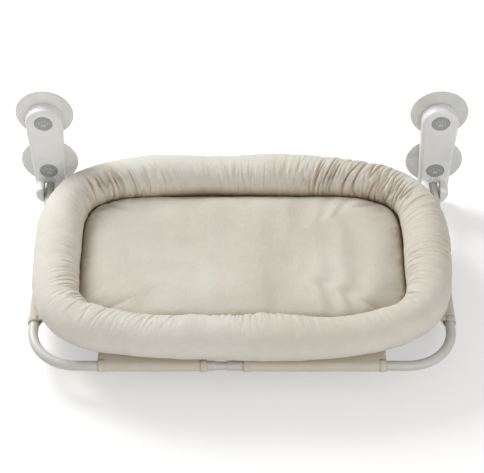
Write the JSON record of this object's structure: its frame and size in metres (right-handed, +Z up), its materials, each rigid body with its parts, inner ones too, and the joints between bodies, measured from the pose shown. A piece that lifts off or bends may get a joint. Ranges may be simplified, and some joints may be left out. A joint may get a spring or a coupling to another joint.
{
  "type": "window mounted cat perch",
  "caption": "Padded oval cat bed on a U-shaped tube frame that hangs in two hooked brackets held to a window by suction cups and folds up.",
  "frame": {"origin": "on the glass, midway between the brackets, at the height of the frame's tubes", "axes": "+X to the right along the window, +Y through the glass away from the perch, +Z up"},
  "size_m": [0.627, 0.3677, 0.197],
  "materials": {
    "white_plastic": "satin",
    "grey_plastic": "satin",
    "clear_vinyl": "gloss",
    "zinc_steel": "satin",
    "tube_paint": "satin",
    "plug_plastic": "matte",
    "plush": "matte",
    "base_cloth": "matte"
  },
  "bodies": {
    "wall_unit": {"bracket_left": "white_plastic", "bracket_right": "white_plastic", "suction_cup_left_upper": "clear_vinyl", "suction_cup_left_lower": "clear_vinyl", "suction_cup_right_upper": "clear_vinyl", "suction_cup_right_lower": "clear_vinyl", "cup_stud_left_upper": "zinc_steel", "cup_stud_left_lower": "zinc_steel", "cup_stud_right_upper": "zinc_steel", "cup_stud_right_lower": "zinc_steel", "hex_nut_left_upper": "zinc_steel", "hex_nut_left_lower": "zinc_steel", "hex_nut_right_upper": "zinc_steel", "hex_nut_right_lower": "zinc_steel"},
    "frame": {"frame_tube_left": "tube_paint", "frame_tube_right": "tube_paint", "frame_end_plug_left": "plug_plastic", "frame_end_plug_right": "plug_plastic", "rear_bar_left": "tube_paint", "rear_bar_right": "tube_paint", "bar_end_plug_left": "plug_plastic", "bar_end_plug_right": "plug_plastic", "front_button_spring": "zinc_steel", "rear_button_spring": "zinc_steel", "bed_base_sheet": "base_cloth", "bed_floor_pad": "plush", "bed_rim": "plush"},
    "front_button": {"front_snap_button": "zinc_steel"},
    "rear_button": {"rear_snap_button": "zinc_steel"},
    "left_upper_cap": {"cover_cap_left_upper": "grey_plastic"},
    "left_lower_cap": {"cover_cap_left_lower": "grey_plastic"},
    "right_upper_cap": {"cover_cap_right_upper": "grey_plastic"},
    "right_lower_cap": {"cover_cap_right_lower": "grey_plastic"}
  },
  "joints": [
    {"name": "frame_fold", "type": "hinge", "parent": "wall_unit", "child": "frame", "pos_m": [0, -0.0307, 0], "axis": [-1, 0, 0], "range_deg": [0, 70], "deforming": ["bed_rim"]},
    {"name": "front_button_press", "type": "slide", "parent": "frame", "child": "front_button", "axis": [0, -1, 0], "range_m": [0, 0.0028], "stiffness_N_per_m": 800, "deforming": ["front_button_spring"]},
    {"name": "rear_button_press", "type": "slide", "parent": "frame", "child": "rear_button", "axis": [0, 0, 1], "range_m": [0, 0.0028], "stiffness_N_per_m": 800, "deforming": ["rear_button_spring"]},
    {"name": "left_upper_cap_pull", "type": "slide", "parent": "wall_unit", "child": "left_upper_cap", "axis": [0, -1, 0], "range_m": [0, 0.007]},
    {"name": "left_lower_cap_pull", "type": "slide", "parent": "wall_unit", "child": "left_lower_cap", "axis": [0, -1, 0], "range_m": [0, 0.007]},
    {"name": "right_upper_cap_pull", "type": "slide", "parent": "wall_unit", "child": "right_upper_cap", "axis": [0, -1, 0], "range_m": [0, 0.007]},
    {"name": "right_lower_cap_pull", "type": "slide", "parent": "wall_unit", "child": "right_lower_cap", "axis": [0, -1, 0], "range_m": [0, 0.007]}
  ]
}
